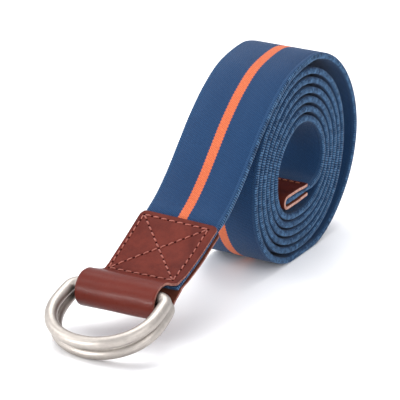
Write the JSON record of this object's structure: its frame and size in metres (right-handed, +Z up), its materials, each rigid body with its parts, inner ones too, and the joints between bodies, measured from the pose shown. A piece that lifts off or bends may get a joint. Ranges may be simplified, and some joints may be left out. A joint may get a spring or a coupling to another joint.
{
  "type": "double ring belt",
  "caption": "Rolled striped webbing belt with a stitched leather tab looped round stacked D-rings at one end and a folded leather tip at the other.",
  "frame": {"origin": "middle of the footprint on the surface that the rolled belt stands on", "axes": "+X across the webbing, +Y from the rings towards the back of the coil, +Z up"},
  "size_m": [0.045, 0.1616, 0.0746],
  "materials": {
    "webbing": "ribbed woven webbing with a coloured centre stripe",
    "leather": "smooth, semi-gloss on the roll",
    "ring_metal": "satin nickel",
    "tip_leather": "smooth, matt"
  },
  "bodies": {
    "belt": {"webbing_strap": "webbing", "leather_tab": "leather", "tail_tip": "tip_leather"},
    "upper_ring": {"ring_upper": "ring_metal"},
    "lower_ring": {"ring_lower": "ring_metal"}
  },
  "joints": [
    {"name": "upper_ring_swing", "type": "hinge", "parent": "belt", "child": "upper_ring", "pos_m": [0.00068, -0.05475, 0.01717], "axis": [-0.9955, 0.0651, -0.0681], "range_deg": [0, 160]},
    {"name": "lower_ring_swing", "type": "hinge", "parent": "belt", "child": "lower_ring", "pos_m": [-0.0001, -0.05149, 0.01364], "axis": [0.9953, -0.0707, 0.0657], "range_deg": [0, 145]}
  ]
}
